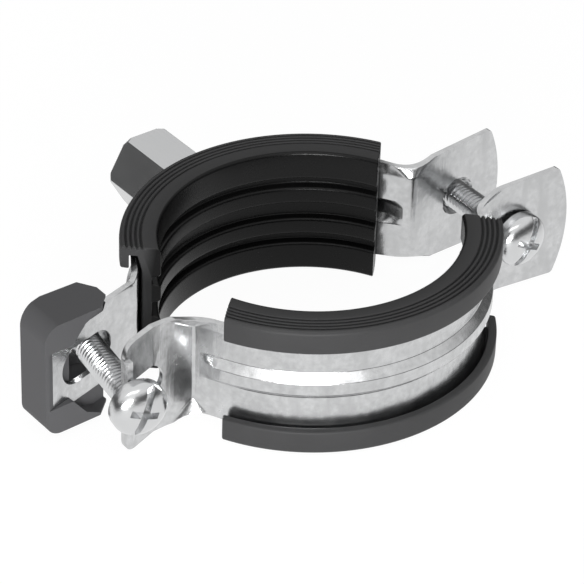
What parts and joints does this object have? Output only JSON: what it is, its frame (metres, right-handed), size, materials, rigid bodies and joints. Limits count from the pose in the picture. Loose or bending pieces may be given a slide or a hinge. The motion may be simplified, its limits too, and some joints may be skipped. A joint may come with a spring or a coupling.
{
  "type": "pipe clamp",
  "caption": "Split pipe clamp: two stamped steel halves with rubber linings, closed by side screws, one hooked in a slot, with a welded threaded nut for hanging it.",
  "frame": {"origin": "centre of the rear lining's pipe seat, halfway along the clamp's width", "axes": "+Z along the pipe, +Y from the pipe towards the connection nut, +X towards the pair of ears whose screw runs in the threaded collar"},
  "size_m": [0.0993, 0.0754, 0.0236],
  "materials": {
    "steel": "bright zinc plated",
    "screw_steel": "bright zinc plated",
    "rubber": "matt black",
    "clip_plastic": "dark grey, moulded"
  },
  "bodies": {
    "rear": {"rear_band": "steel", "rear_lining": "rubber", "connection_nut": "steel", "screw_retainer": "clip_plastic"},
    "front": {"front_band": "steel", "front_lining": "rubber"},
    "left_screw": {"left_screw": "screw_steel"},
    "right_screw": {"right_screw": "screw_steel"},
    "nut": {"retainer_nut": "screw_steel"}
  },
  "joints": [
    {"name": "close_slide", "type": "slide", "parent": "rear", "child": "front", "axis": [0, 1, 0], "range_m": [-0.0032, 0.0084]},
    {"name": "right_screw_turn", "type": "hinge", "parent": "front", "child": "right_screw", "pos_m": [0.0388, -0.00574, 0], "axis": [0, 1, 0], "range_deg": [-1440.1, 3780.1]},
    {"name": "left_screw_turn", "type": "hinge", "parent": "front", "child": "left_screw", "pos_m": [-0.04077, -0.00842, 0], "axis": [0.1564, 0.9877, 0], "range_deg": [-1458.1, 3827.3]},
    {"name": "nut_shift", "type": "slide", "parent": "rear", "child": "nut", "axis": [1, 0, 0], "range_m": [-0.00133, 0.00051]}
  ],
  "couplings": [
    {"joint": "right_screw_turn", "follows": "close_slide", "rad_per_m": 7854},
    {"joint": "left_screw_turn", "follows": "close_slide", "rad_per_m": 7951.9},
    {"joint": "nut_shift", "follows": "close_slide", "ratio": -0.15838}
  ]
}
